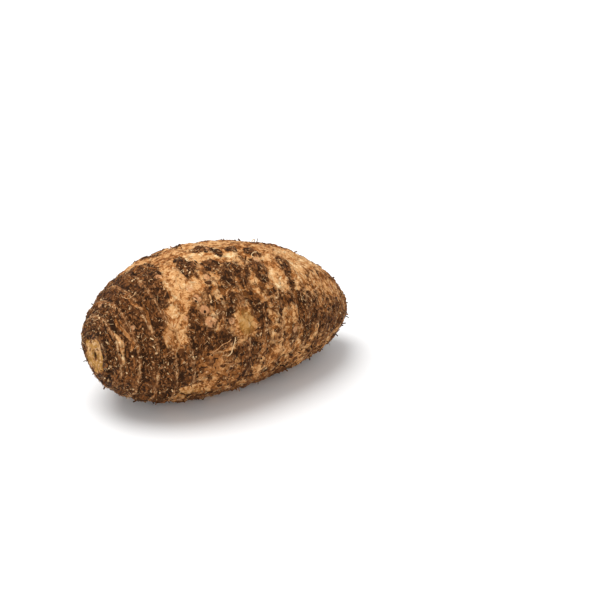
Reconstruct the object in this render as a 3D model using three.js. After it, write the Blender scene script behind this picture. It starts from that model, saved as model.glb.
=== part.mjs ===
// A malanga: the starchy corm of an aroid plant, dug up, trimmed and lying on its belly.
// It grew as one piece, so it is one closed solid: a blunt, slightly humped spindle, broadest
// nearer its base, with a soft swelling here and there and a belly pressed flat.
// Units are millimetres. +Z is up, +X runs along the corm towards the narrow bud end,
// and the origin is on the ground under the middle of the corm.
import * as THREE from "three";
import { mergeVertices } from "three/addons/utils/BufferGeometryUtils.js";

// Driving dimensions.
const LENGTH = 168; // from base to bud, along the corm's own axis
const GIRTH_RADIUS = 45.5; // at the broadest place
const BROADEST = 0.38; // where that is, as a share of the length from the base
const SCAR_RADIUS = 10; // the flat scar at the base, where the stalk was
const FLATTENING = 0.94; // height of a cross-section over its width
const HUMP = 8; // how far the two ends droop below the middle of the back
const BELLY_DEPTH = 1.5; // how much of the belly is pressed flat
const PITCH_DEG = 5; // tail-down turn that brings the centre of mass over the belly
const ROLL_DEG = 2; // the same, about the long axis

// How finely the skin is faceted.
const STEPS_ALONG = 46;
const STEPS_ROUND = 56;

// Soft swellings of the flesh: waves round the corm that drift as they run along it.
const SWELLINGS = [
  { height: 0.6, lobes: 2, drift: 2 },
  { height: 0.5, lobes: 3, drift: 4 },
  { height: 0.3, lobes: 5, drift: 6 },
];
const BELLY_AT = 0.45; // share of the length where every wave is lowest under the belly

// Half of the corm's outline: two quarter ellipses that meet where the corm is broadest. The
// short one at the base stops at the rim of the stalk's scar, the long one runs out at the bud.
function cormOutline() {
  const broadest = BROADEST * LENGTH;
  const rimAngle = Math.asin(SCAR_RADIUS / GIRTH_RADIUS);
  const baseReach = broadest / Math.cos(rimAngle);
  const path = new THREE.Path();
  path.moveTo(0, 0);
  path.lineTo(0, SCAR_RADIUS);
  path.absellipse(broadest, 0, baseReach, GIRTH_RADIUS, Math.PI - rimAngle, Math.PI / 2, true);
  path.absellipse(broadest, 0, LENGTH - broadest, GIRTH_RADIUS, Math.PI / 2, 0, true);
  // A lathe turns about Y with the radius along X. Its two ends close on the axis.
  const profile = path.getSpacedPoints(STEPS_ALONG - 1).map((p) => new THREE.Vector2(p.y, p.x));
  profile[0].x = 0;
  profile[profile.length - 1].x = 0;
  return profile;
}

function swellingAt(share, angle) {
  return SWELLINGS.reduce(
    (sum, s) => sum - s.height * Math.cos(s.lobes * (angle + Math.PI / 2) + s.drift * (share - BELLY_AT)),
    0,
  );
}

// Turns the lathe's round body into the grown one, vertex by vertex.
function grow(point) {
  const along = point.y;
  const share = along / LENGTH;
  const radius = Math.hypot(point.x, point.z);
  const angle = Math.atan2(point.x, point.z);
  const grown = radius * (1 + swellingAt(share, angle) / GIRTH_RADIUS);
  const fromMiddle = 2 * share - 1;
  return new THREE.Vector3(
    along - LENGTH / 2,
    grown * Math.cos(angle),
    grown * Math.sin(angle) * FLATTENING - HUMP * fromMiddle ** 2,
  );
}

// Lays the corm on the ground: turned to its resting pose, belly flat on z = 0, centred.
function layDown(geometry) {
  geometry.rotateX(THREE.MathUtils.degToRad(ROLL_DEG));
  geometry.rotateY(THREE.MathUtils.degToRad(PITCH_DEG));
  geometry.computeBoundingBox();
  const ground = geometry.boundingBox.min.z + BELLY_DEPTH;
  const middle = geometry.boundingBox.getCenter(new THREE.Vector3());
  const position = geometry.attributes.position;
  for (let i = 0; i < position.count; i++) {
    const height = Math.max(position.getZ(i) - ground, 0);
    position.setXYZ(i, position.getX(i) - middle.x, position.getY(i) - middle.y, height);
  }
}

function cormGeometry() {
  const lathe = new THREE.LatheGeometry(cormOutline(), STEPS_ROUND);
  lathe.deleteAttribute("normal");
  lathe.deleteAttribute("uv");
  const geometry = mergeVertices(lathe, 1e-3);
  const position = geometry.attributes.position;
  const point = new THREE.Vector3();
  for (let i = 0; i < position.count; i++) {
    const grown = grow(point.fromBufferAttribute(position, i));
    position.setXYZ(i, grown.x, grown.y, grown.z);
  }
  layDown(geometry);
  geometry.computeVertexNormals();
  return geometry;
}

const barkBrown = new THREE.MeshStandardMaterial({ color: 0x7a5636, roughness: 0.9, metalness: 0 });

const corm = new THREE.Mesh(cormGeometry(), barkBrown);
corm.name = "corm";

const malanga = new THREE.Group();
malanga.name = "malanga";
malanga.add(corm);

export default malanga;
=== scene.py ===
# %% [markdown]
# # A malanga corm
# A malanga is the starchy underground stem of a big-leaved aroid. This one lies on its belly,
# as picked and trimmed. It grew as one piece, so it is one skin, but that skin has a lot on it:
# a dark papery bark worn away in patches, the scars that old leaves left as rings, round scars
# of roots, and thousands of short fibres. We build the skin first and then what sits on it.

import math

import bmesh
import bpy
import numpy as np
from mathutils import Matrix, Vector, noise
from mathutils.bvhtree import BVHTree


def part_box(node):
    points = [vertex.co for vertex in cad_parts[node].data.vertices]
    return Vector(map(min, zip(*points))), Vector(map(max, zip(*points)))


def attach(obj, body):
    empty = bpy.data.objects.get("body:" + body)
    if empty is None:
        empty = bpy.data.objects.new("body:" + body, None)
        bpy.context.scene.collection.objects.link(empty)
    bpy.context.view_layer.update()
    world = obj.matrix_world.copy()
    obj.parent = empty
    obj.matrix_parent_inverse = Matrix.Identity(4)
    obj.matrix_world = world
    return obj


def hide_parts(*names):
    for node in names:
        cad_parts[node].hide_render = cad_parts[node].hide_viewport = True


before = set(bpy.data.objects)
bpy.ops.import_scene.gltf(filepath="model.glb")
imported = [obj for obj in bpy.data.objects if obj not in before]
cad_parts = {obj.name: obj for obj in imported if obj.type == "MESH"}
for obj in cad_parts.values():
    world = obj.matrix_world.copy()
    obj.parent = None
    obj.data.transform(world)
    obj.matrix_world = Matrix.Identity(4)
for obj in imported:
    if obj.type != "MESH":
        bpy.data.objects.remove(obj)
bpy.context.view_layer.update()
MM = 0.001
low_corner, high_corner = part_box("corm")
LENGTH = high_corner.x - low_corner.x
HEIGHT = high_corner.z
print("corm box in mm:", [round(side / MM, 1) for side in high_corner - low_corner])

# %% [markdown]
# ## Where things are on a corm
# A place on the corm is easiest to say as "so far from the base end, so far round". For that we
# need the corm's core, the line through the middle of its cross-sections. It could be copied
# from the drawing, but measuring it on the frame keeps the two from drifting apart: we slice
# the mesh, take the middle of each slice and fit a gentle curve through the middles.

# %% Measure the core of the corm
cad_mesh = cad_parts["corm"].data
cad_points = np.array([v.co for v in cad_mesh.vertices])
cad_faces = [tuple(p.vertices) for p in cad_mesh.polygons]
cad_surface = BVHTree.FromPolygons([v.co.copy() for v in cad_mesh.vertices], cad_faces)

SLICES = 12
slice_x = np.linspace(low_corner.x + 0.1 * LENGTH, high_corner.x - 0.1 * LENGTH, SLICES)
slice_z = []
for x in slice_x:
    near = cad_points[np.abs(cad_points[:, 0] - x) < LENGTH / SLICES / 2]
    slice_z.append((near[:, 2].min() + near[:, 2].max()) / 2)
core_curve = np.polyfit(slice_x, slice_z, 2)

SCAR_TILT = 2 * MM  # the flat scar at the base end leans, and spans less than this along X
base_tip = Vector(cad_points[cad_points[:, 0] < low_corner.x + SCAR_TILT].mean(axis=0))
bud_tip = Vector(cad_points[cad_points[:, 0].argmax()])
print("base tip", [round(c / MM, 1) for c in base_tip], "bud tip", [round(c / MM, 1) for c in bud_tip])


# %% [markdown]
# Places on it are then given as a grower would point them out. Count the leaf rings from the
# base end, and read the hour off a clock face held against that end: twelve is the top, three
# the flank towards us, six the belly and nine the flank away from us.

# %% Rings and hours
RING = 9 * MM  # from one leaf ring to the next
HOUR_DEG = 30


def spot_on_skin(ring, hour):
    """The spot and the skin's normal at so many rings from the base and at that hour."""
    x = low_corner.x + ring * RING
    core = Vector((x, 0, np.polyval(core_curve, x)))
    turn = math.radians(hour * HOUR_DEG)
    outward = Vector((0, -math.sin(turn), math.cos(turn)))
    spot, normal, _, _ = cad_surface.ray_cast(core, outward)
    return spot, normal


def rings_and_hours(points):
    """The ring and the hour of each point."""
    core = np.polyval(core_curve, points[:, 0])
    turn = np.degrees(np.arctan2(-points[:, 1], points[:, 2] - core))
    return (points[:, 0] - low_corner.x) / RING, (turn / HOUR_DEG) % 12


def hours_apart(hour, other):
    """From -6 to 6: the short way round the clock."""
    return (hour - other + 6) % 12 - 6


print("the corm is", round(LENGTH / RING, 1), "rings long")

# %% [markdown]
# ## A fine blank for the skin
# The frame's mesh has flat facets a few millimetres wide. The bark needs relief of half a
# millimetre, so we want an even mesh that fine. Subdividing alone would crowd the two ends,
# where the facets are long and thin. A voxel remesh gives the same small quads everywhere,
# and it comes after a subdivision so that the facets are gone first.

# %% Make the blank
SKIN_QUAD = 0.79 * MM


def add_object(name, data):
    made = bpy.data.objects.new(name, data)
    bpy.context.scene.collection.objects.link(made)
    return made


def smooth_copy_of_frame():
    blank = add_object("blank", cad_mesh.copy())
    work = bmesh.new()
    work.from_mesh(blank.data)
    bmesh.ops.remove_doubles(work, verts=work.verts, dist=0.01 * MM)
    bmesh.ops.join_triangles(
        work, faces=work.faces, angle_face_threshold=math.radians(40), angle_shape_threshold=math.radians(40)
    )
    work.to_mesh(blank.data)
    work.free()
    return blank


def finished_mesh(worker, name):
    """What the modifiers make of the worker, as a plain mesh. The worker is thrown away."""
    depsgraph = bpy.context.evaluated_depsgraph_get()
    mesh = bpy.data.meshes.new_from_object(
        worker.evaluated_get(depsgraph), preserve_all_data_layers=True, depsgraph=depsgraph
    )
    mesh.name = name
    bpy.data.objects.remove(worker)
    return mesh


blank = smooth_copy_of_frame()
rounding = blank.modifiers.new("rounding", "SUBSURF")
rounding.levels = 2
rounding.render_levels = 2
remesh = blank.modifiers.new("even quads", "REMESH")
remesh.mode = "VOXEL"
remesh.voxel_size = SKIN_QUAD
remesh.use_smooth_shade = True
blank_mesh = finished_mesh(blank, "blank_skin")
blank_mesh.materials.clear()
print("blank skin has", len(blank_mesh.polygons), "quads")

# %% [markdown]
# ## Patches of bark and bare flesh
# Where the dark bark has worn off is chance, but a few large areas make the corm's face. Its
# base end kept its bark. Next to that a bare band crosses the top and slides towards the base as
# it runs down either flank. A formula draws those two. The rest are oval patches painted over
# them in order: the ring and hour of the middle, half the length in rings, half the width in
# hours, and the strength. For the cover, 1 is full bark and -1 is bare flesh. The middles are
# given to a quarter of a ring or an hour, and noise roughens the edges later.

# %% The base end and the bare band
BAND_RING = 5.25  # where the band crosses the top
BAND_SLIDE = 0.75  # how many rings it slides for each hour down a flank
BAND_HALF = 0.6  # half its width, in rings
BAND_EDGE = 0.5  # how softly it ends, in rings
BAND_HOURS = 2.75  # it has run out this far from the top
BAND_FADE = 0.25  # how softly it runs out, in hours
BAND_BARENESS = 0.8
BAND_CREAM = 0.1
BASE_STRENGTH = 0.9


def soft(value, start, end):
    """0 at the start, 1 at the end and a soft step between them. The end may be the lower one."""
    share = np.clip((value - start) / (end - start), 0, 1)
    return share * share * (3 - 2 * share)


def band_ring(hour):
    return BAND_RING - BAND_SLIDE * np.minimum(np.abs(hours_apart(hour, 0)), BAND_HOURS)


def bare_band(ring, hour):
    """How much of the band a point lies in, from 0 to 1."""
    across = soft(np.abs(ring - band_ring(hour)), BAND_HALF + BAND_EDGE / 2, BAND_HALF - BAND_EDGE / 2)
    return across * soft(np.abs(hours_apart(hour, 0)), BAND_HOURS + BAND_FADE, BAND_HOURS - BAND_FADE)


def base_end(ring, hour):
    return soft(ring - band_ring(hour), BAND_EDGE, -BAND_EDGE)


# %% The patches
NEAR_COVER = [
    # The bare middle of the near side and the small dark patches in it.
    (7.0, 1.25, 0.75, 0.25, -0.1),
    (8.0, 1.25, 0.5, 0.3, 0.8),
    (9.25, 1.25, 0.75, 0.3, 0.1),
    (10.5, 1.25, 0.4, 0.4, 1.0),
    (9.25, 2.0, 1.0, 0.25, -0.1),
    (11.5, 1.5, 0.5, 0.4, -1.0),
    (12.75, 1.0, 0.5, 0.5, 0.4),
    (5.5, 1.25, 0.6, 0.25, -1.0),
    # The bark below the root scars, round the olive oval.
    (4.75, 2.0, 0.4, 0.25, 1.0),
    (4.75, 2.75, 0.75, 0.4, 1.0),
    (6.25, 2.75, 0.75, 0.25, 1.0),
    (7.0, 2.25, 0.5, 0.25, 0.8),
    (9.0, 2.5, 0.5, 0.4, 1.0),
    (8.0, 3.25, 0.75, 0.5, 0.9),
    (8.0, 2.5, 0.75, 0.4, -1.0),
    (6.0, 3.0, 0.9, 0.05, -1.0),
    # Low on the flank, and the bud end.
    (2.5, 3.5, 1.5, 1.0, 0.9),
    (3.75, 3.25, 1.0, 0.5, 0.8),
    (5.25, 3.25, 0.75, 0.3, -0.3),
    (3.5, 4.0, 0.75, 0.25, 0.9),
    (4.25, 4.0, 0.5, 0.2, -0.9),
    (13.25, 2.5, 1.0, 0.5, 0.7),
    (15.5, 3.0, 1.0, 0.5, 0.4),
]
TOP_COVER = [
    # The bare top.
    (8.0, 0.0, 3.0, 0.75, -1.0),
    (11.75, 0.5, 2.0, 0.75, -0.9),
    (14.75, 0.5, 2.0, 0.75, -1.0),
    (13.25, 1.25, 0.75, 0.4, -0.8),
    (16.0, 1.75, 1.0, 0.5, -0.6),
    # The bark left on it: one large patch each side of the band, then a row of small ones.
    (4.0, 11.75, 0.75, 0.4, 1.0),
    (6.0, 0.5, 0.75, 0.4, 0.8),
    (7.75, 0.0, 0.5, 0.2, 1.3),
    (8.5, 0.25, 0.5, 0.2, 1.3),
    (9.75, 0.25, 0.4, 0.15, 1.3),
    (11.0, 0.5, 0.6, 0.3, 1.2),
    (7.5, 0.75, 0.4, 0.2, 0.6),
]
CREAM = [
    (6.75, 0.25, 0.75, 0.2, 0.8),
    (8.75, 0.5, 1.0, 0.15, 1.0),
    (8.75, 11.75, 1.0, 0.25, 0.7),
    (9.25, 0.75, 0.5, 0.2, 0.8),
    (5.5, 1.25, 0.5, 0.2, 0.7),
    (11.5, 1.5, 0.4, 0.4, 1.0),
    (11.75, 0.75, 0.5, 0.2, 0.7),
    (13.5, 1.25, 0.75, 0.4, 0.6),
    (14.75, 0.5, 2.0, 0.75, 0.6),
    (6.0, 3.0, 0.9, 0.05, 1.0),
]
OLIVE = [
    (8.0, 2.5, 0.75, 0.4, 1.0),
    (7.25, 3.5, 1.25, 0.5, 0.7),
    (4.5, 4.25, 1.5, 0.4, 0.7),
    (15.0, 0.25, 1.5, 0.5, 0.6),
]
RUST = [
    (5.25, 3.25, 1.0, 0.4, 1.0),
    (6.75, 3.75, 1.0, 0.4, 0.7),
    (3.25, 2.25, 0.5, 0.25, 0.5),
    (1.0, 3.5, 0.75, 0.75, 0.5),
]
RING_LINES = [(0.75, 2.0), (1.25, 1.5), (2.25, 1.25)]  # ring and hour of thin worn lines
LINE_HALF = (0.1, 0.9)  # half a line's width in rings and half its length in hours
PATCH_CORE = 0.35  # share of a patch that is fully painted
PATCH_RIM = 1.45  # where the paint has run out
WAVE_DEPTH = 3 * MM
WAVE_LENGTH = 9 * MM


# %% Paint them on the blank
def wavy_points(mesh):
    """The skin's points, each pushed a little, so that what is laid by them has wavy edges."""
    return np.array([v.co + noise.noise_vector(v.co / WAVE_LENGTH) * WAVE_DEPTH for v in mesh.vertices])


def on_far_side(patches):
    """The same patches half a turn round and one ring on, so the far side looks like the near one."""
    return [(ring + 1, (hour + 6) % 12, *shape) for ring, hour, *shape in patches]


def lines(strength):
    return [(ring, hour, *LINE_HALF, strength) for ring, hour in RING_LINES]


def paint(mesh, name, patches, places, paint_on):
    for ring, hour, half_rings, half_hours, strength in patches:
        along = (places[0] - ring) / half_rings
        reach = np.hypot(along, hours_apart(places[1], hour) / half_hours)
        share = soft(reach, PATCH_RIM, PATCH_CORE)
        paint_on = paint_on * (1 - share) + strength * share
    mesh.attributes.new(name, "FLOAT", "POINT").data.foreach_set("value", paint_on)
    print(f"{name}: {len(patches)} patches, {100 * (abs(paint_on) > 0.1).mean():.0f}% of the skin painted")


places = rings_and_hours(wavy_points(blank_mesh))
band = bare_band(*places)
plain_cover = base_end(*places) * BASE_STRENGTH * (1 - band) - band * BAND_BARENESS
cover_patches = on_far_side(NEAR_COVER) + TOP_COVER + NEAR_COVER + lines(-0.9)
paint(blank_mesh, "cover_paint", cover_patches, places, plain_cover)
paint(blank_mesh, "cream_paint", CREAM + lines(0.8)[:1], places, band * BAND_CREAM)
paint(blank_mesh, "olive_paint", OLIVE, places, band * 0)
paint(blank_mesh, "rust_paint", RUST + lines(0.9)[1:], places, band * 0)

# %% [markdown]
# ## Scars where roots came out
# Thick roots leave round pale scars with a dark dot in the middle. A row of clear ones runs down
# the flank beside the bare band, each larger than the one above. For each point of the skin we
# store how far it is from the nearest scar, counted in that scar's own radius, so 1 is its rim.
# More of them are strewn by chance further on.

# %% The row of scars
SCARS_IN_ROW = 4
FIRST_SCAR = (5.25, 1.25)  # ring and hour
NEXT_SCAR = (0.15, 0.33)  # how many rings and hours further the next one is
SMALLEST_SCAR = 2.2 * MM
SCAR_GROWTH = 0.5 * MM
FAR_FROM_SCARS = 9.0


def scar_row():
    """Ring, hour and radius of each scar."""
    for i in range(SCARS_IN_ROW):
        ring = FIRST_SCAR[0] + i * NEXT_SCAR[0]
        hour = FIRST_SCAR[1] + i * NEXT_SCAR[1]
        yield ring, hour, SMALLEST_SCAR + i * SCAR_GROWTH


def measure_scars(mesh, scars):
    points = np.array([v.co for v in mesh.vertices])
    nearest = np.full(len(points), FAR_FROM_SCARS)
    for ring, hour, radius in scars:
        spot, _ = spot_on_skin(ring, hour)
        reach = np.linalg.norm(points - np.array(spot), axis=1) / radius
        nearest = np.minimum(nearest, reach)
    mesh.attributes.new("scar_reach", "FLOAT", "POINT").data.foreach_set("value", nearest)


measure_scars(blank_mesh, scar_row())
print(SCARS_IN_ROW, "root scars in the row")

# %% [markdown]
# ## Writing node trees as sums
# Both the relief and the colours are worked out by node trees. Wiring each Math node by hand is
# slow to read, so a small class stands for one output of a node, and adding or multiplying two
# of them adds the node that does it. Every other node comes from one method of the bench.


# %% The bench and its wires
NOISE_GAIN = 3.2  # spreads the noise, which keeps near its middle, to about -1 to 1
RAGGED_SIZE = 1.6 * MM


class Wire:
    """One output of a node. Sums and products with it add nodes to the same tree."""

    def __init__(self, bench, socket):
        self.bench = bench
        self.socket = socket

    def combine(self, operation, first, second):
        wires = [w for w in (first, second) if isinstance(w, Wire)]
        vector = any(w.socket.type in ("VECTOR", "RGBA") for w in wires)
        kind = "ShaderNodeVectorMath" if vector else "ShaderNodeMath"
        return self.bench.node(kind, {"operation": operation}, {0: first, 1: second})

    def __add__(self, other):
        return self.combine("ADD", self, other)

    def __radd__(self, other):
        return self.combine("ADD", other, self)

    def __sub__(self, other):
        return self.combine("SUBTRACT", self, other)

    def __rsub__(self, other):
        return self.combine("SUBTRACT", other, self)

    def __mul__(self, other):
        return self.combine("MULTIPLY", self, other)

    def __rmul__(self, other):
        return self.combine("MULTIPLY", other, self)

    def __truediv__(self, other):
        return self.combine("DIVIDE", self, other)


class Bench:
    """Builds one node tree, for geometry or for a material."""

    def __init__(self, tree):
        self.tree = tree

    def node(self, kind, settings=None, inputs=None, output=0):
        """Adds a node: its settings first, then its sockets, by name or by place."""
        made = self.tree.nodes.new(kind)
        for name, value in (settings or {}).items():
            if name == "stops":
                self.set_stops(made.color_ramp, value)
            else:
                setattr(made, name, value)
        for key, value in (inputs or {}).items():
            self.feed(made.inputs[key], value)
        return Wire(self, made.outputs[output])

    def feed(self, socket, value):
        if isinstance(value, Wire):
            self.tree.links.new(value.socket, socket)
        elif socket.type == "VECTOR" and isinstance(value, (int, float)):
            socket.default_value = (value, value, value)
        else:
            socket.default_value = value

    def set_stops(self, ramp, stops):
        while len(ramp.elements) < len(stops):
            ramp.elements.new(0.5)
        for element, (place, colour) in zip(ramp.elements, stops):
            element.position = place
            element.color = colour

    def rise(self, value, start, end):
        """0 below start, 1 above end and a soft step between them."""
        return self.node(
            "ShaderNodeMapRange",
            {"interpolation_type": "SMOOTHSTEP"},
            {"Value": value, "From Min": start, "From Max": end},
        )

    def between(self, value, start, full, fading, end):
        """A soft step from 0 up to 1, then one back down to 0."""
        return self.rise(value, start, full) * (1 - self.rise(value, fading, end))

    def mottle(self, place, size, detail=2.0, rough=0.5, shift=0.0):
        """Cloudy noise from about -1 to 1. A size is one number, or one for each direction."""
        sizes = size if isinstance(size, tuple) else (size, size, size)
        scaled = place * tuple(1 / s for s in sizes) + (shift, shift, shift)
        cloud = self.node(
            "ShaderNodeTexNoise",
            {},
            {"Vector": scaled, "Scale": 1.0, "Detail": detail, "Roughness": rough},
        )
        return (cloud - 0.5) * NOISE_GAIN

    def highest(self, first, second):
        return self.node("ShaderNodeMath", {"operation": "MAXIMUM"}, {0: first, 1: second})

    def lowest(self, first, second):
        return self.node("ShaderNodeMath", {"operation": "MINIMUM"}, {0: first, 1: second})

    def fraction(self, value):
        return self.node("ShaderNodeMath", {"operation": "FRACT"}, {0: value})

    def distance(self, place, point):
        return self.node("ShaderNodeVectorMath", {"operation": "DISTANCE"}, {0: place, 1: tuple(point)}, 1)

    def join(self, x, y, z):
        return self.node("ShaderNodeCombineXYZ", {}, {0: x, 1: y, 2: z})

    def split(self, place):
        """The place's x, y and z."""
        apart = self.tree.nodes.new("ShaderNodeSeparateXYZ")
        self.feed(apart.inputs[0], place)
        return [Wire(self, out) for out in apart.outputs]

    def position(self):
        return self.node("GeometryNodeInputPosition")

    def height(self):
        return self.split(self.position())[2]

    def attribute(self, name):
        """A number that the mesh carries, read in a geometry tree."""
        return self.node("GeometryNodeInputNamedAttribute", {"data_type": "FLOAT"}, {"Name": name})

    def store(self, geometry, name, value, kind="FLOAT"):
        return self.node(
            "GeometryNodeStoreNamedAttribute",
            {"data_type": kind, "domain": "POINT"},
            {"Geometry": geometry, "Name": name, "Value": value},
        )


# %% Making and running a geometry tree
def geometry_bench(name, sizes):
    """A bench for a new geometry tree with a geometry coming in and a named input for each size."""
    tree = bpy.data.node_groups.new(name, "GeometryNodeTree")
    tree.interface.new_socket("Geometry", in_out="INPUT", socket_type="NodeSocketGeometry")
    tree.interface.new_socket("Geometry", in_out="OUTPUT", socket_type="NodeSocketGeometry")
    for size_name, value in sizes.items():
        kind = "NodeSocketInt" if isinstance(value, int) else "NodeSocketFloat"
        tree.interface.new_socket(size_name, in_out="INPUT", socket_type=kind)
    bench = Bench(tree)
    entry = tree.nodes.new("NodeGroupInput")
    given = {socket.name: Wire(bench, socket) for socket in entry.outputs if socket.name}
    return bench, given


def end_tree(bench, geometry, material, ragged=0.0):
    """Every tree ends the same way: real geometry, one material, out."""
    real = bench.node("GeometryNodeRealizeInstances", {}, {"Geometry": geometry})
    if ragged:
        pattern = {"Vector": bench.position(), "Scale": 1 / RAGGED_SIZE, "Detail": 1.0}
        push = bench.node("ShaderNodeTexNoise", {}, pattern, 1) - (0.5, 0.5, 0.5)
        offset = push * (ragged, ragged, ragged)
        real = bench.node("GeometryNodeSetPosition", {}, {"Geometry": real, "Offset": offset})
    dressed = bench.node("GeometryNodeSetMaterial", {}, {"Geometry": real, "Material": material})
    leave = bench.tree.nodes.new("NodeGroupOutput")
    bench.feed(leave.inputs["Geometry"], dressed)


def run_tree(mesh, bench, sizes, name):
    """Runs the tree on a copy of the mesh and returns a new object with the plain result."""
    worker = add_object("worker", mesh.copy())
    modifier = worker.modifiers.new(bench.tree.name, "NODES")
    modifier.node_group = bench.tree
    for item in bench.tree.interface.items_tree:
        if item.in_out == "INPUT" and item.name in sizes:
            modifier[item.identifier] = sizes[item.name]
    piece = add_object(name, finished_mesh(worker, name))
    piece.data.shade_smooth()
    triangles = sum(len(p.vertices) - 2 for p in piece.data.polygons)
    print(f"{name}: {triangles} triangles")
    return piece


# %% Shared measures along the corm
def core_height(x):
    """The core's height at x, as a sum of wires."""
    bend, slope, start = (float(c) for c in core_curve)
    return (x * bend + slope) * x + start


def corm_coordinates(bench, place):
    """How far a point lies from the base along the skin, the place with that as its x, and its
    own x and z."""
    x, y, z = bench.split(place)
    from_base = bench.distance(place, base_tip)
    from_bud = bench.distance(place, bud_tip)
    whole = 2 * math.hypot(LENGTH / 2, HEIGHT / 2)
    towards_bud = bench.rise(x, -0.2 * LENGTH, 0.2 * LENGTH)
    run = from_base * (1 - towards_bud) + (whole - from_bud) * towards_bud
    skin_place = bench.join(run, y, z - core_height(x))
    return run, skin_place, x, z


# %% [markdown]
# ## Colours
# Colours are named once, as a dyer would, and given in the usual hexadecimal form. Blender
# works in linear light, so a small function turns one into the other.


# %% Named colours
def dye(code):
    """A colour such as c89664 as linear red, green, blue and alpha."""
    channels = [int(code[i : i + 2], 16) / 255 for i in (0, 2, 4)]
    linear = [c / 12.92 if c <= 0.04045 else ((c + 0.055) / 1.055) ** 2.4 for c in channels]
    return (*linear, 1.0)


PALE = dye("f6d6a4")
TAN = dye("d8a26a")
ORANGE = dye("ab6a34")
COCOA = dye("74451f")
OLIVE_TONE = dye("a87a36")
MOSS = dye("b07f38")
PEACH = dye("c98e60")
UMBER = dye("5c3517")
CLAY = dye("8a5932")
COAL = dye("2e1806")
RUSTY = dye("a3642f")
STRAW = dye("e6c190")


# %% [markdown]
# ## The skin's material
# The geometry tree below stores what lies where: bark, cream or olive flesh, scars. The material
# reads those numbers, breaks their edges up with finer noise than the mesh can hold, and picks
# the colours. It is a stack of thin layers, each mixed over the one before, as a painter glazes.


# %% Material helpers
def material_bench(name):
    material = bpy.data.materials.new(name)
    material.use_nodes = True
    bench = Bench(material.node_tree)
    shader = material.node_tree.nodes["Principled BSDF"]
    return material, bench, shader


def mix(bench, share, first, second):
    """The first colour where share is 0, the second where it is 1."""
    return bench.node(
        "ShaderNodeMix",
        {"data_type": "RGBA", "clamp_factor": True},
        {0: share, 6: first, 7: second},
        2,
    )


def carried(bench, name):
    """A number that the mesh carries, read in a material."""
    return bench.node("ShaderNodeAttribute", {"attribute_name": name}, {}, "Fac")


def coat(bench, shader, colour, roughness, shine, bump):
    """Gives the shader its colour, its roughness, a faint shine and its fine relief."""
    bench.feed(shader.inputs["Base Color"], colour)
    bench.feed(shader.inputs["Roughness"], roughness)
    bench.feed(shader.inputs["Normal"], bench.node("ShaderNodeBump", {}, bump))
    shader.inputs["Specular IOR Level"].default_value = shine


# %% The skin's material
def cells(bench, place, size):
    """Chance scales: a tone from 0 to 1 for each, and how far a point is from its middle."""
    scaled = place * tuple(1 / s for s in size)
    settings = {"feature": "F1"}
    pattern = bench.node("ShaderNodeTexVoronoi", settings, {"Vector": scaled, "Scale": 1.0}, "Color")
    tone = bench.node("ShaderNodeSeparateColor", {}, {0: pattern}, "Red")
    distance = Wire(bench, pattern.socket.node.outputs["Distance"])
    return tone, distance


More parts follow.
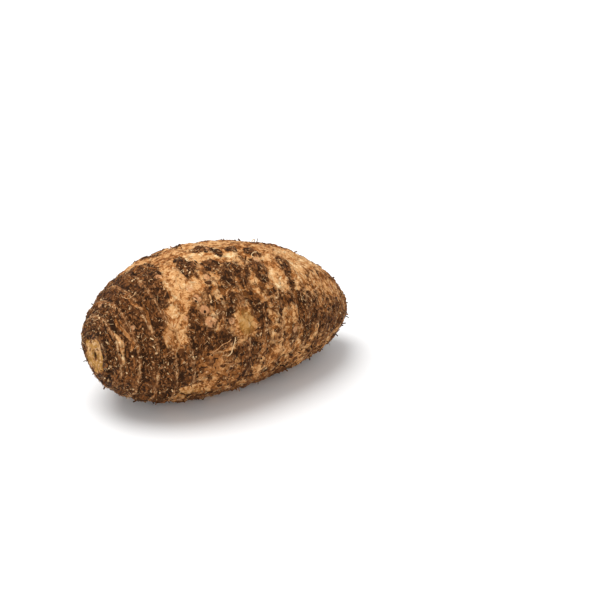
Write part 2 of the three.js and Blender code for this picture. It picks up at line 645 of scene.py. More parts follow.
def skin_material():
    material, bench, shader = material_bench("corm_skin")
    place = bench.node("ShaderNodeAttribute", {"attribute_name": "skin_place"}, {}, "Vector")

    # Noise, from the broadest to the finest. Streaks run round the corm, striae along it.
    blotch = bench.mottle(place, 9 * MM, 3)
    cloud = bench.mottle(place, 3.4 * MM, 4, 0.6, 3.0)
    grain = bench.mottle(place, 1.7 * MM, 4, 0.75, 7.0)
    dust = bench.mottle(place, 0.8 * MM, 2, 0.6, 2.0)
    thread = bench.mottle(place, (0.9 * MM, 6 * MM, 6 * MM), 3, 0.6, 5.0)
    streak = bench.mottle(place, (1.6 * MM, 8 * MM, 8 * MM), 4, 0.65)
    striae = bench.mottle(place, (14 * MM, 1.2 * MM, 1.2 * MM), 3, 0.6)
    warp = bench.node("ShaderNodeTexNoise", {}, {"Vector": place, "Scale": 420.0, "Detail": 2.0}, "Color")
    warped = place + (warp - (0.5, 0.5, 0.5)) * (3.0 * MM, 3.0 * MM, 3.0 * MM)
    scale_tone, scale_middle = cells(bench, warped, (2.5 * MM, 3.8 * MM, 3.8 * MM))
    chip_tone, chip_middle = cells(bench, warped, (1.2 * MM, 1.8 * MM, 1.8 * MM))
    tone = 0.04 + scale_tone * 0.34 + chip_tone * 0.42 + grain * 0.32 + dust * 0.18

    # Bare flesh, from brown hollows through orange and tan to cream.
    cream = carried(bench, "cream")
    light = tone * 0.95 + cream * 0.36 + blotch * 0.12 + cloud * 0.3 - 0.16
    flesh = mix(bench, bench.rise(light, -0.05, 0.2), COCOA, ORANGE)
    flesh = mix(bench, bench.rise(light, 0.12, 0.4), flesh, TAN)
    flesh = mix(bench, bench.rise(light, 0.45, 0.85), flesh, PALE)
    flesh = mix(bench, bench.rise(streak + cloud * 0.3, 0.3, 0.9) * 0.6, flesh, ORANGE)
    olive = carried(bench, "olive") + cloud * 0.35 + grain * 0.2
    flesh = mix(bench, bench.rise(olive, 0.4, 1.0) * 0.6, flesh, OLIVE_TONE)
    flesh = mix(bench, bench.rise(striae, 0.1, 0.8) * carried(bench, "striped") * 0.6, flesh, ORANGE)
    flesh = mix(bench, bench.rise(grain - chip_tone * 0.5, 0.05, 0.5) * 0.7, flesh, COCOA)

    # Dark bark: coal and umber, clay where it is thin, rust between its scales, and straw specks
    # that are partly pale fibre and partly painted glints.
    deep = tone * 0.8 + cloud * 0.3 + thread * 0.18
    # Lighter on the ring crests, where the fringes are. Darker in the ring steps, which is painted shade, and
    # round the stalk's scar.
    deep = deep + carried(bench, "crest") * 0.3 - carried(bench, "hollow") * 0.2
    bark = mix(bench, bench.rise(deep, 0.12, 0.46), COAL, UMBER)
    bark = mix(bench, bench.rise(deep, 0.44, 0.72), bark, CLAY)
    bark = mix(bench, bench.rise(streak * 0.7 + thread * 0.6 + chip_tone * 0.3, 0.3, 0.9) * 0.85, bark, RUSTY)
    # Straw specks: pale fibre, and painted glints on the dark bark.
    bark = mix(bench, bench.rise(grain + dust * 0.8 + chip_tone * 0.5, 0.8, 1.1) * 0.9, bark, STRAW)

    barky = carried(bench, "bark") + cloud * 0.2 + grain * 0.22 - scale_tone * 0.16 + 0.08
    cover = bench.rise(barky, 0.36, 0.64)
    colour = mix(bench, cover, flesh, bark)

    rusty = bench.rise(carried(bench, "rust") + cloud * 0.25 + chip_tone * 0.2, 0.35, 0.9)
    colour = mix(bench, rusty * 0.75, colour, mix(bench, bench.rise(tone, 0.15, 0.6), UMBER, RUSTY))

    # Pale fringes of fibre along the edges of the leaf rings.
    fringe = carried(bench, "crest") * bench.rise(thread + grain * 0.5 + cloud * 0.4, -0.2, 0.5)
    colour = mix(bench, fringe * 0.85, colour, mix(bench, chip_tone, RUSTY, STRAW))

    # Root scars: a peach disc, part of a dark rim and a dark dot.
    reach = carried(bench, "scar") + grain * 0.2 + cloud * 0.24
    disc = 1 - bench.rise(reach, 0.75, 1.0)
    rim = bench.between(reach, 0.75, 0.95, 1.0, 1.35)
    dot = 1 - bench.rise(reach, 0.1, 0.3)
    colour = mix(bench, disc * 0.85, colour, mix(bench, bench.rise(tone, 0.4, 1.1), PEACH, PALE))
    colour = mix(bench, rim * bench.rise(blotch, -0.4, 0.5) * 0.6, colour, UMBER)
    colour = mix(bench, dot * bench.rise(blotch, -0.2, 0.6) * 0.6, colour, UMBER)

    # The stalk's scar at the base: corky and yellow, with a dark eye.
    corky = mix(bench, bench.rise(cloud * 0.6 + blotch * 0.3 + tone, 0.0, 0.8), MOSS, TAN)
    corky = mix(bench, bench.rise(tone + cloud * 0.4, 0.5, 0.95) * 0.9, corky, PALE)
    corky = mix(bench, bench.rise(cloud + streak * 0.5 - chip_tone * 0.3, -0.1, 0.3) * 0.9, corky, COCOA)
    bald = carried(bench, "bald") + grain * 0.25 + streak * 0.15
    colour = mix(bench, bench.rise(bald, 0.35, 0.65), colour, corky)
    colour = mix(bench, bench.rise(carried(bench, "eye") + grain * 0.2, 0.2, 0.8) * 0.95, colour, COAL)

    # Darker lines between the scales. Painted shade in the steps between the rings,
    # and a dark ring round the stalk's scar.
    crack = bench.rise(scale_middle + grain * 0.15, 0.6, 0.9)
    colour = mix(bench, crack * 0.3, colour, COAL)
    hollow_shade = carried(bench, "hollow") + grain * 0.4 + cloud * 0.4
    colour = mix(bench, bench.rise(hollow_shade, 0.5, 1.4) * 0.7, colour, COAL)

    height = tone * 0.9 + streak * 0.3 + dust * 0.2 - crack * 0.7 - chip_middle * 0.5
    bump = {"Strength": 1.0, "Distance": 0.5 * MM, "Height": height}
    coat(bench, shader, colour, 0.74 - cover * 0.14 + grain * 0.1, 0.08, bump)
    return material


corm_skin = skin_material()
print("skin material has", len(corm_skin.node_tree.nodes), "nodes")

# %% [markdown]
# ## Growing the skin
# The relief follows rules, so a geometry tree makes it. Each leaf that the plant dropped left a
# ring: the skin swells slowly to it and then steps down. Where the papery bark is still on, the
# skin is thicker, with ragged edges. Roots left low discs with a rim. The skin starts a little
# inside the frame, so that bark and fibres end on the frame's outline. Everything fades out on
# the belly, which is pressed flat, so the corm lies as the frame does.

# %% The skin's sizes
SKIN_SIZES = {
    "Ring start": 4.5 * MM,
    "Ring spacing": RING,
    "Ring height": 0.7 * MM,
    "Bark height": 0.5 * MM,
    "Wrinkle height": 0.4 * MM,
    "Scale height": 0.42 * MM,
    "Swell height": 0.8 * MM,
    "Inset": 0.6 * MM,
    "Scar height": 0.32 * MM,
    "Scar spacing": 26.0 * MM,
    "Bald radius": 12.0 * MM,
    "Bud radius": 7.0 * MM,
    "Bud height": 2.2 * MM,
    "Bud ring spacing": 3.0 * MM,
    "Seed": 5,
}


# %% Grow it
def grow_skin():
    bench, size = geometry_bench("grow the skin", SKIN_SIZES)
    place = bench.position()
    run, skin_place, x, z = corm_coordinates(bench, place)

    # Leaf rings: a saw's tooth along the run, wandering and ragged, stronger in some places.
    wander = bench.mottle(place, 26 * MM, 1) * (1.6 * MM) + bench.mottle(place, 5 * MM, 3) * (0.9 * MM)
    tooth = bench.fraction((run + wander - size["Ring start"]) / size["Ring spacing"])
    step = bench.between(tooth, 0.0, 0.75, 0.86, 1.0)
    ring_strength = bench.rise(bench.mottle(place, 22 * MM, 1, 0.5, 9.0), -0.9, 0.7)
    ring_strength = bench.highest(ring_strength, 1 - bench.rise(run, 42 * MM, 62 * MM))
    ring = (step - 0.5) * ring_strength

    # Bark: chance, pushed by the patches.
    broad = bench.mottle(place, 17 * MM, 2, 0.5, 4.0)
    banded = bench.mottle(skin_place, (5 * MM, 13 * MM, 13 * MM), 3, 0.55, 1.0)
    flaky = bench.mottle(place, 3.5 * MM, 3, 0.6, 6.0)
    painted = bench.attribute("cover_paint")
    chance_share = 1 - painted * painted * 0.6
    bark = 0.5 + (broad * 0.25 + banded * 0.3) * chance_share + flaky * 0.28 + painted * 0.52
    cover = bench.rise(bark, 0.4, 0.6)

    # Root scars: the row, and more of them by chance.
    seeds = bench.node(
        "GeometryNodeDistributePointsOnFaces",
        {"distribute_method": "POISSON"},
        {
            "Mesh": size["Geometry"],
            "Distance Min": size["Scar spacing"],
            "Density Max": 2.0e4,
            "Density Factor": 1.0,
            "Seed": size["Seed"],
        },
    )
    nearest = bench.node("GeometryNodeSampleNearest", {"domain": "POINT"}, {"Geometry": seeds})
    radius = bench.node(
        "FunctionNodeRandomValue", {}, {"Min": 0.9 * MM, "Max": 2.4 * MM, "ID": nearest, "Seed": 3}, 1
    )
    gap = bench.node("GeometryNodeProximity", {"target_element": "POINTS"}, {0: seeds}, "Distance")
    scar = bench.lowest(bench.attribute("scar_reach"), gap / radius)
    dome = 1 - bench.rise(scar, 0.7, 1.0)
    pit = (1 - bench.rise(scar, 0.1, 0.45)) * 0.6
    moat = bench.between(scar, 0.85, 1.0, 1.1, 1.4)
    scar_relief = dome * 0.6 - pit * 0.9 - moat * 0.7

    # The stalk's scar: a bald corky disc round the base tip with a sunken eye.
    from_tip = bench.distance(place, base_tip)
    ragged = from_tip + bench.mottle(place, 7 * MM, 2) * (2.5 * MM)
    bald = 1 - bench.rise(ragged, 0.55 * size["Bald radius"], size["Bald radius"])
    moat_round = bench.between(ragged, *(share * size["Bald radius"] for share in (0.8, 1.0, 1.1, 1.35)))
    eye = 1 - bench.rise(from_tip + bench.mottle(place, 2.5 * MM, 2) * (0.6 * MM), 1.2 * MM, 3.0 * MM)

    # The bud end: a blunt nub with close rings round it, and fine striae along the skin.
    from_bud = bench.distance(place, bud_tip)
    nub = 1 - bench.rise(from_bud, 2.5 * MM, size["Bud radius"])
    wavering = from_bud + bench.mottle(place, 6 * MM, 2) * (0.7 * MM)
    close_step = bench.between(bench.fraction(wavering / size["Bud ring spacing"]), 0.0, 0.3, 0.5, 1.0)
    close_ring = close_step * (1 - bench.rise(from_bud, 12 * MM, 20 * MM))
    striped = bench.rise(x, 0.12 * LENGTH, 0.34 * LENGTH)
    striae = bench.mottle(skin_place, (16 * MM, 1.6 * MM, 1.6 * MM), 2)

    # Scales: the skin cracks into small plates, each a little domed.
    bend = bench.node("ShaderNodeTexNoise", {}, {"Vector": place, "Scale": 300.0, "Detail": 2.0}, 1)
    bent = skin_place + (bend - (0.5, 0.5, 0.5)) * (4.0 * MM, 4.0 * MM, 4.0 * MM)
    plates = bench.node(
        "ShaderNodeTexVoronoi",
        {"feature": "F1"},
        {"Vector": bent * (1 / (3.2 * MM), 1 / (4.6 * MM), 1 / (4.6 * MM)), "Scale": 1.0},
        "Distance",
    )
    plate = 0.5 - bench.rise(plates, 0.15, 0.85)

    swell = bench.mottle(place, 24 * MM, 1, 0.5, 2.0)
    wrinkle = bench.mottle(skin_place, (1.8 * MM, 5 * MM, 5 * MM), 4, 0.65)
    lift = ring * size["Ring height"] * 2
    lift = lift + cover * (0.7 + flaky * 0.4) * size["Bark height"]
    lift = lift + wrinkle * size["Wrinkle height"] * (0.45 + cover * 0.55)
    lift = lift + plate * size["Scale height"] * (0.5 + cover * 0.5)
    lift = lift + striae * striped * (1 - cover) * size["Wrinkle height"] * 0.6
    lift = lift + swell * size["Swell height"]
    lift = lift + nub * size["Bud height"] + close_ring * size["Ring height"] * 0.7
    lift = lift * (1 - bald * 0.7) * (1 - dome * 0.8) + scar_relief * size["Scar height"]
    lift = lift - eye * 1.6 * MM - size["Inset"]
    lift = lift * bench.rise(z, 0.2 * MM, 4 * MM)

    # The steps where the rings drop down. The material paints shade there.
    hollow = bench.highest(bench.rise(tooth, 0.88, 0.98), 1 - bench.rise(tooth, 0.0, 0.2))
    normal = bench.node("GeometryNodeInputNormal")
    kept = size["Geometry"]
    values = {
        "bark": bark * (1 - bald),
        "cream": bench.attribute("cream_paint"),
        "olive": bench.attribute("olive_paint"),
        "rust": bench.attribute("rust_paint"),
        "scar": scar,
        "bald": bald,
        "eye": eye,
        "striped": striped,
        # The ring steps, for painted shade, and a dark ring round the stalk's scar.
        "hollow": bench.highest(hollow * ring_strength * (1 - bald), moat_round),
        "crest": bench.between(tooth, 0.66, 0.8, 0.84, 0.92) * ring_strength * (1 - bald),
    }
    for name, value in values.items():
        kept = bench.store(kept, name, value)
    kept = bench.store(kept, "skin_place", skin_place, "FLOAT_VECTOR")
    moved = bench.node("GeometryNodeSetPosition", {}, {"Geometry": kept, "Offset": normal * lift})

    # Nothing sinks into the ground.
    limits = {0: bench.position(), 1: (-1.0, -1.0, 0.0)}
    grounded = bench.node("ShaderNodeVectorMath", {"operation": "MAXIMUM"}, limits)
    moved = bench.node("GeometryNodeSetPosition", {}, {"Geometry": moved, "Position": grounded})
    end_tree(bench, moved, corm_skin)
    return run_tree(blank_mesh, bench, SKIN_SIZES, "corm_skin")


skin = grow_skin()

# %% [markdown]
# ## Loose scales of bark
# Where the bark is breaking up, thin scales stand off the skin and catch the light. One scale is
# a small bent lens with few faces. The tree strews it over the barky places, lies it round the
# corm as the bark splits, and tips each one a little off the skin.

# %% Material of small dry things
def dry_material(name, pale, middle, dark, roughness, pale_from=0.84):
    """For what is strewn by the hundred: each piece carries its own tint from 0 to 1."""
    material, bench, shader = material_bench(name)
    place = bench.node("ShaderNodeTexCoord", {}, {}, "Object")
    grain = bench.mottle(place, 0.9 * MM, 3, 0.6)
    tint = carried(bench, "tint") + grain * 0.15
    colour = mix(bench, bench.rise(tint, 0.1, 0.65), dark, middle)
    colour = mix(bench, bench.rise(tint, pale_from, pale_from + 0.2), colour, pale)
    bump = {"Strength": 0.5, "Distance": 0.1 * MM, "Height": grain}
    coat(bench, shader, colour, roughness + grain * 0.1, 0.1, bump)
    return material


# The palest scales and fibres are straw. That is partly their own colour and partly painted glints.
scale_material = dry_material("bark_scales", STRAW, CLAY, COAL, 0.7)
fibre_material = dry_material("dry_fibres", STRAW, RUSTY, UMBER, 0.5, 0.7)
root_material = dry_material("dead_roots", ORANGE, UMBER, COAL, 0.6)


# %% Strewing
def strew(bench, size, part, density, looks, goal=None):
    """Puts the part on the skin at random, standing on the skin's normal, with its own tint.
    Its X runs round the corm, or towards the goal."""
    scatter = bench.tree.nodes.new("GeometryNodeDistributePointsOnFaces")
    scatter.distribute_method = "POISSON"
    bench.feed(scatter.inputs["Mesh"], size["Geometry"])
    bench.feed(scatter.inputs["Distance Min"], size["Spacing"])
    bench.feed(scatter.inputs["Density Max"], looks["most"])
    bench.feed(scatter.inputs["Density Factor"], density)
    bench.feed(scatter.inputs["Seed"], size["Seed"])
    points = Wire(bench, scatter.outputs["Points"])
    normal = Wire(bench, scatter.outputs["Normal"])
    across = bench.node(
        "ShaderNodeVectorMath", {"operation": "CROSS_PRODUCT"}, {0: normal, 1: (1.0, 0.0, 0.0)}
    )
    if goal:
        across = tuple(goal) - bench.position()
    facing = bench.node(
        "FunctionNodeAxesToRotation", {"primary_axis": "Z", "secondary_axis": "X"}, {0: normal, 1: across}
    )
    low = tuple(-math.radians(a) for a in looks["swing"])
    high = tuple(math.radians(a) for a in looks["swing"])
    swing = bench.node(
        "FunctionNodeRandomValue",
        {"data_type": "FLOAT_VECTOR"},
        {0: low, 1: high, "Seed": looks["seed"] + 1},
    )
    turned = bench.node(
        "FunctionNodeRotateRotation",
        {"rotation_space": "LOCAL"},
        {0: facing, 1: bench.node("FunctionNodeEulerToRotation", {}, {0: swing})},
    )
    grown = bench.node(
        "FunctionNodeRandomValue",
        {"data_type": "FLOAT_VECTOR"},
        {0: looks["small"], 1: looks["large"], "Seed": looks["seed"] + 2},
    )
    placed = bench.node(
        "GeometryNodeInstanceOnPoints",
        {},
        {"Points": points, "Instance": part, "Rotation": turned, "Scale": grown},
    )
    tint = bench.node("FunctionNodeRandomValue", {}, {2: 0.0, 3: 1.0, "Seed": looks["seed"] + 3}, 1)
    return bench.node(
        "GeometryNodeStoreNamedAttribute",
        {"data_type": "FLOAT", "domain": "INSTANCE"},
        {"Geometry": placed, "Name": "tint", "Value": tint},
    )


# %% Bark scales
SCALE_SIZES = {
    "Length": 2.4 * MM,
    "Width": 1.4 * MM,
    "Thickness": 0.16 * MM,
    "Curl": 0.3,
    "Spacing": 0.8 * MM,
    "Seed": 11,
}


def bark_scales():
    bench, size = geometry_bench("strew the scales", SCALE_SIZES)
    lens = bench.node("GeometryNodeMeshUVSphere", {}, {"Segments": 7, "Rings": 4, "Radius": 0.5})
    place = bench.position()
    x, y, z = bench.split(place)
    bent = z * size["Thickness"] + x * x * size["Length"] * size["Curl"] * 2
    shape = bench.join(x * size["Length"], y * size["Width"] * (1 - x * 0.6), bent)
    scale = bench.node("GeometryNodeSetPosition", {}, {"Geometry": lens, "Position": shape})
    looks = dict(most=4.0e5, swing=(8, 9, 60), small=(0.25, 0.3, 0.6), large=(1.1, 1.1, 1.2), seed=20)
    barky = bench.rise(bench.attribute("bark"), 0.35, 0.75)
    broken = bench.rise(bench.mottle(place, 8 * MM, 2, 0.5, 5.0), -0.9, 0.6)
    bare_skin = 1 - bench.rise(bench.attribute("bald"), 0.2, 0.6)
    density = barky * broken * bare_skin * bench.rise(z, 3 * MM, 8 * MM)
    strewn = strew(bench, size, scale, density, looks)
    end_tree(bench, strewn, scale_material, 0.5 * MM)
    return run_tree(skin.data, bench, SCALE_SIZES, "bark_scales")


scales = bark_scales()

# %% [markdown]
# ## Fibres
# The rotted leaf bases leave short dry fibres that lie on the skin and bristle at its edge.
# A fibre could be a curve, but the export wants meshes, so each is a thin three-sided tube
# swept along a bent path and tapered to nothing.

# %% A tapered tube
def bowed_path(bench, points, start, middle, end):
    """A curve from start to end, pulled towards the middle."""
    bends = {"Resolution": points, "Start": start, "Middle": middle, "End": end}
    return bench.node("GeometryNodeCurveQuadraticBezier", {}, bends)


def swept(bench, path, sides, thickness, widest, taper):
    """A closed tube along the path, widest where it starts."""
    radius = widest - bench.node("GeometryNodeSplineParameter") * taper
    path = bench.node("GeometryNodeSetCurveRadius", {}, {"Curve": path, "Radius": radius})
    profile = {"Resolution": sides, "Radius": thickness / 2}
    ring = bench.node("GeometryNodeCurvePrimitiveCircle", {}, profile)
    sweep = {"Curve": path, "Profile Curve": ring, "Fill Caps": True}
    return bench.node("GeometryNodeCurveToMesh", {}, sweep)


# %% Fibres
FIBRE_SIZES = {
    "Length": 3.0 * MM,
    "Thickness": 0.2 * MM,
    "Bow": 0.22,
    "Spacing": 0.6 * MM,
    "Seed": 31,
}


def hair(bench, size):
    """One tapered tube along X that starts in the skin and bows up over it."""
    length = size["Length"]
    middle = bench.join(length * 0.45, length * 0.08, length * size["Bow"])
    end = bench.join(length, length * -0.12, length * size["Bow"] * 0.5)
    path = bowed_path(bench, 4, (0.0, 0.0, 0.0), middle, end)
    return swept(bench, path, 3, size["Thickness"], 1, 0.85)


def fibres():
    bench, size = geometry_bench("strew the fibres", FIBRE_SIZES)
    part = hair(bench, size)
    tufts = bench.rise(bench.mottle(bench.position(), 9 * MM, 2, 0.5, 8.0), -0.6, 0.8)
    clad = 0.35 + bench.rise(bench.attribute("bark"), 0.3, 0.7) * 0.65
    density = tufts * clad * bench.rise(bench.height(), 4 * MM, 9 * MM) * 0.5
    looks = dict(most=9.0e5, swing=(12, 8, 70), small=(0.25, 0.5, 0.4), large=(1.0, 1.2, 1.0), seed=40)
    strewn = strew(bench, size, part, density, looks)
    end_tree(bench, strewn, fibre_material)
    return run_tree(skin.data, bench, FIBRE_SIZES, "dry_fibres")


fibre_piece = fibres()

# %% [markdown]
# ## Stubs of roots
# The thicker roots broke off short and dark. They show best along the outline.

# %% Root stubs
STUB_SIZES = {
    "Length": 2.2 * MM,
    "Thickness": 0.8 * MM,
    "Spacing": 4.4 * MM,
    "Seed": 51,
}


def root_stubs():
    bench, size = geometry_bench("strew the stubs", STUB_SIZES)
    length = size["Length"]
    start = bench.join(0.0, 0.0, length * -0.25)
    middle = bench.join(length * 0.1, 0.0, length * 0.5)
    end = bench.join(length * 0.35, 0.0, length)
    stub = swept(bench, bowed_path(bench, 5, start, middle, end), 6, size["Thickness"], 1, 0.7)
    height = bench.height()
    low_rim = 1 - bench.rise(height, 26 * MM, 44 * MM)
    density = bench.rise(height, 5 * MM, 9 * MM) * (0.07 + low_rim * 0.93)
    looks = dict(most=2.4e4, swing=(35, 35, 180), small=(0.3,) * 3, large=(1.25,) * 3, seed=60)
    strewn = strew(bench, size, stub, density, looks)
    end_tree(bench, strewn, root_material)
    return run_tree(skin.data, bench, STUB_SIZES, "root_stubs")


stubs = root_stubs()

# %% [markdown]
# ## Peeling bark and the bud's scales
# Two kinds of thin sheet stand off the skin. Where bark meets bare flesh its edge lifts and
# curls. Round the bud the dry bases of the last leaves overlap and point at its tip. Both are
# the same flat box with many vertices, tapered and bent, so one function makes either.

# %% A bent sheet
def bent_sheet(bench, size, taper):
    """A thin closed sheet along X, narrowed towards its far end and curled up."""
    counts = {"Vertices X": 6, "Vertices Y": 4, "Vertices Z": 2}
    block = bench.node("GeometryNodeMeshCube", {}, {"Size": (1.0, 1.0, 1.0), **counts}, "Mesh")
    x, y, z = bench.split(bench.position())
    width = size["Width"] * (1 - (x + 0.5) * taper) * (1 - x * x * 2.6)
    height = z * size["Thickness"] + (x * x - y * y * 0.5) * size["Length"] * size["Curl"]
    shape = bench.join(x * size["Length"], y * width, height)
    return bench.node("GeometryNodeSetPosition", {}, {"Geometry": block, "Position": shape})


# %% Peeling bark
CURL_SIZES = {
    "Length": 4.2 * MM,
    "Width": 3.2 * MM,
    "Thickness": 0.2 * MM,
    "Curl": 0.24,
    "Spacing": 3.4 * MM,
    "Seed": 71,
}
peel_material = dry_material("peeling_bark", TAN, UMBER, COAL, 0.7)


def peeling_bark():
    bench, size = geometry_bench("strew the curls", CURL_SIZES)
    sheet = bent_sheet(bench, size, 0.5)
    edge = bench.between(bench.attribute("bark"), 0.38, 0.5, 0.6, 0.8)
    density = edge * bench.rise(bench.height(), 5 * MM, 9 * MM)
    looks = dict(most=6.0e4, swing=(6, 7, 180), small=(0.3, 0.3, 0.5), large=(1.1,) * 3, seed=80)
    strewn = strew(bench, size, sheet, density, looks)
    end_tree(bench, strewn, peel_material, 1.0 * MM)
    return run_tree(skin.data, bench, CURL_SIZES, "peeling_bark")


peels = peeling_bark()

# %% The bud's scales
BUD_SIZES = {
    "Length": 6.5 * MM,
    "Width": 3.4 * MM,
    "Thickness": 0.25 * MM,
    "Curl": -0.08,
    "Spacing": 1.3 * MM,
    "Seed": 91,
}
bud_material = dry_material("bud_scales", TAN, CLAY, UMBER, 0.6)


def bud_scales():
    bench, size = geometry_bench("set the bud scales", BUD_SIZES)
    sheet = bent_sheet(bench, size, 0.75)
    from_bud = bench.distance(bench.position(), bud_tip)
    density = bench.between(from_bud, 2 * MM, 3 * MM, 9 * MM, 13 * MM)
    looks = dict(most=3.0e5, swing=(7, 9, 16), small=(0.5, 0.5, 0.7), large=(1.0, 1.0, 1.2), seed=100)
    strewn = strew(bench, size, sheet, density, looks, goal=bud_tip)
    end_tree(bench, strewn, bud_material, 0.4 * MM)
    return run_tree(skin.data, bench, BUD_SIZES, "bud_scales")


bud = bud_scales()

# %% [markdown]
# ## Rootlets
# Thin dead roots wander over the skin. Each is a walk: take a short step, drop back onto the
# skin, turn a little. The walk is plain Python, because each step needs the one before it. A
# small tree then sweeps a tapering tube along all the walks at once.

# %% Walk over the skin
STEP = 0.8 * MM
ROOTLET_LIFT = 0.15 * MM
skin_surface = BVHTree.FromPolygons(
    [v.co.copy() for v in skin.data.vertices], [tuple(p.vertices) for p in skin.data.polygons]
)


def walk(spot, heading, steps, bend, chance):
    """The points of one rootlet. The heading turns by bend at each step, and by some chance."""
    path = []
    for _ in range(steps):
        spot, normal, _, _ = skin_surface.find_nearest(spot)
        path.append(spot + normal * ROOTLET_LIFT)
        turn = bend + chance.uniform(-0.35, 0.35)
        heading = (heading - normal * heading.dot(normal)).normalized()
        heading = heading * math.cos(turn) + normal.cross(heading) * math.sin(turn)
        spot = spot + heading * STEP
    return path


CLEAR_ROOTLETS = [
    # Ring, hour, heading in degrees from the bud's way, steps, bend at each step.
    (5.25, 3.0, 10, 20, 0.0),
    (7.0, 2.75, -80, 16, 0.0),
    (7.25, 3.5, 160, 16, 0.05),
    (10.75, 0.75, 150, 10, -0.3),
]
CURLS = [(12.25, 11.75), (9.5, 10.0), (14.25, 2.0)]  # ring and hour of each standing loop
CURL_RADIUS = 1.3 * MM
CURL_TURNS = 1.2
CURL_POINTS = 18
CHANCE_ROOTLETS = 46
CHANCE_HOURS = 4.5  # how far from the top they may start
WALK_SEED = 7
TINT_SEED = 8


def curl(ring, hour):
    """A short strip that has dried into a loop standing on the skin."""
    spot, normal, _, _ = skin_surface.find_nearest(spot_on_skin(ring, hour)[0])
    sideways = normal.cross(Vector((1, 0, 0))).normalized()
    path = []
    for i in range(CURL_POINTS):
        angle = math.tau * CURL_TURNS * i / (CURL_POINTS - 1)
        radius = CURL_RADIUS * (1 - 0.3 * i / CURL_POINTS)
        rise = normal * (radius * (1 - math.cos(angle)) - ROOTLET_LIFT * 3)
        path.append(spot + rise + (Vector((1, 0, 0)) + sideways * 0.3) * radius * math.sin(angle))
    return path


def all_walks():
    chance = np.random.default_rng(WALK_SEED)
    walks = []
    for ring, hour, heading_deg, steps, bend in CLEAR_ROOTLETS:
        spot, normal = spot_on_skin(ring, hour)
        heading = Vector((1, 0, 0)) * math.cos(math.radians(heading_deg))
        heading += normal.cross(Vector((1, 0, 0))) * math.sin(math.radians(heading_deg))
        walks.append(walk(spot, heading, steps, bend, chance))
    walks += [curl(*place) for place in CURLS]
    for _ in range(CHANCE_ROOTLETS):
        ring = chance.uniform(1, LENGTH / RING - 1)
        spot, _ = spot_on_skin(ring, chance.uniform(-CHANCE_HOURS, CHANCE_HOURS))
        heading = Vector(chance.uniform(-1, 1, 3).tolist())
        steps = int(chance.integers(5, 18))
        walks.append(walk(spot, heading, steps, chance.uniform(-0.35, 0.35), chance))
    return walks


# %% Sweep the rootlets
ROOTLET_SIZES = {"Thickness": 0.5 * MM}
rootlet_material = dry_material("rootlets", STRAW, RUSTY, UMBER, 0.55)


def rootlets():
    walks = all_walks()
    points = [tuple(p) for path in walks for p in path]
    clear_ones = len(CLEAR_ROOTLETS) + len(CURLS)
    pale_end = sum(len(path) for path in walks[:clear_ones])
    links = []
    tints = []
    chance = np.random.default_rng(TINT_SEED)
    for path in walks:
        first = len(tints)
        links += [(first + i, first + i + 1) for i in range(len(path) - 1)]
        lightest = (0.8, 1.1) if first < pale_end else (0.2, 1.0)
        tints += [chance.uniform(*lightest)] * len(path)
    lines = bpy.data.meshes.new("rootlet_lines")
    lines.from_pydata(points, links, [])
    lines.attributes.new("tint", "FLOAT", "POINT").data.foreach_set("value", tints)
    bench, size = geometry_bench("sweep the rootlets", ROOTLET_SIZES)
    curve = bench.node("GeometryNodeMeshToCurve", {}, {"Mesh": size["Geometry"]})
    tube = swept(bench, curve, 5, size["Thickness"], 1.1, 0.8)
    end_tree(bench, tube, rootlet_material)
    return run_tree(lines, bench, ROOTLET_SIZES, "rootlets")


rootlet_piece = rootlets()

# %% [markdown]
# ## The pieces ride together
# The skin stands for the frame's plain corm. The rest rides with it, because it all grew on
# one thing.

# %% Ride and replace
for piece in (skin, scales, fibre_piece, stubs, peels, bud, rootlet_piece):
    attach(piece, "root")
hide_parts("corm")


# %% [markdown]
# ## Stage
# A white floor, a big soft light overhead and a little behind, a weaker one in front, and a white
# room that fills the shadows. The camera looks down on the corm over its base end. It aims to one
# side of the corm's middle, so that the corm sits left in the picture.

# %% Floor and room
FLOOR_SIDE = 8.0
ROOM_BRIGHTNESS = 0.6


def plain_floor():
    material, _, shader = material_bench("white_floor")
    shader.inputs["Base Color"].default_value = (0.9, 0.9, 0.9, 1.0)
    shader.inputs["Roughness"].default_value = 0.6
    shader.inputs["Specular IOR Level"].default_value = 0.2
    half = FLOOR_SIDE / 2
    corners = [(-half, -half, 0), (half, -half, 0), (half, half, 0), (-half, half, 0)]
    mesh = bpy.data.meshes.new("floor")
    mesh.from_pydata(corners, [], [(0, 1, 2, 3)])
    mesh.materials.append(material)
    floor = add_object("floor", mesh)


plain_floor()
world = bpy.data.worlds.new("white room")
bpy.context.scene.world = world
world.use_nodes = True
walls = world.node_tree.nodes["Background"].inputs
walls["Color"].default_value = (1.0, 1.0, 1.0, 1.0)
walls["Strength"].default_value = ROOM_BRIGHTNESS
bpy.context.scene.view_settings.view_transform = "Standard"


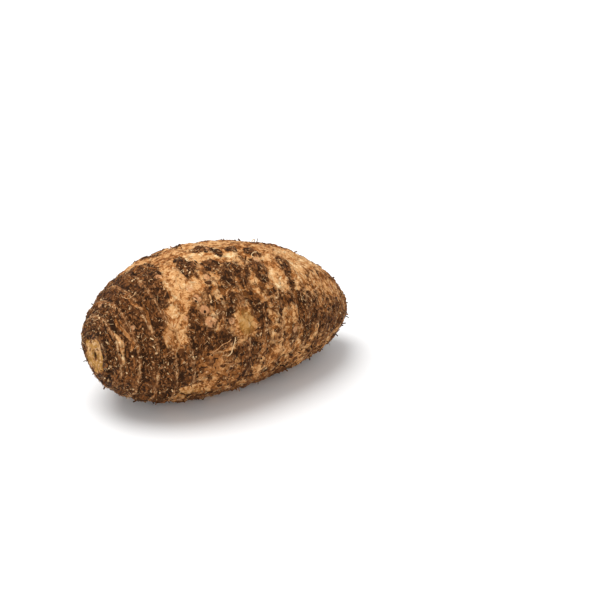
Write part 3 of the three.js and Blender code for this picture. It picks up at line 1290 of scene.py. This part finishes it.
# %% Lights
def soft_light(name, place, side, power):
    lamp = bpy.data.lights.new(name, "AREA")
    lamp.shape = "DISK"
    lamp.size = side
    lamp.energy = power
    light = add_object(name, lamp)
    light.location = place
    light.rotation_euler = (-Vector(place)).to_track_quat("-Z", "Y").to_euler()


soft_light("overhead", (-0.6, 0.75, 3.3), 3.0, 104)
soft_light("front fill", (-1.6, -2.6, 1.2), 2.0, 30)


# %% Camera
def middle_of_volume(mesh):
    """The middle of a closed mesh, weighing each face's cone down to the origin."""
    total = 0.0
    middle = Vector((0, 0, 0))
    mesh.calc_loop_triangles()
    for triangle in mesh.loop_triangles:
        a, b, c = (mesh.vertices[i].co for i in triangle.vertices)
        volume = a.dot(b.cross(c)) / 6
        total += volume
        middle += volume * (a + b + c) / 4
    return middle / total


CAMERA_ROUND = math.radians(-36.5)
CAMERA_UP = math.radians(24)
CAMERA_AWAY = 1.1
PICTURE_WIDTH = 0.3375  # what the camera sees from side to side at the corm
SENSOR_MM = 36
AIM_HEIGHT = 44 * MM
AIM_RIGHT = 48.5 * MM  # the corm sits this far left of the picture's middle
AIM_UP = 4.6 * MM

towards_camera = Vector(
    (
        math.sin(CAMERA_ROUND) * math.cos(CAMERA_UP),
        -math.cos(CAMERA_ROUND) * math.cos(CAMERA_UP),
        math.sin(CAMERA_UP),
    )
)
picture_right = Vector((0, 0, 1)).cross(towards_camera).normalized()
picture_up = towards_camera.cross(picture_right)
corm_middle = middle_of_volume(cad_mesh)
aim = Vector((corm_middle.x, corm_middle.y, AIM_HEIGHT)) + AIM_RIGHT * picture_right + AIM_UP * picture_up

camera_data = bpy.data.cameras.new("camera")
camera_data.sensor_width = SENSOR_MM
camera_data.lens = SENSOR_MM * CAMERA_AWAY / PICTURE_WIDTH
camera = add_object("camera", camera_data)
camera.location = aim + CAMERA_AWAY * towards_camera
camera.rotation_euler = towards_camera.to_track_quat("Z", "Y").to_euler()
bpy.context.scene.camera = camera
print("corm middle in mm:", [round(c / MM, 1) for c in corm_middle], "lens", round(camera_data.lens, 1))
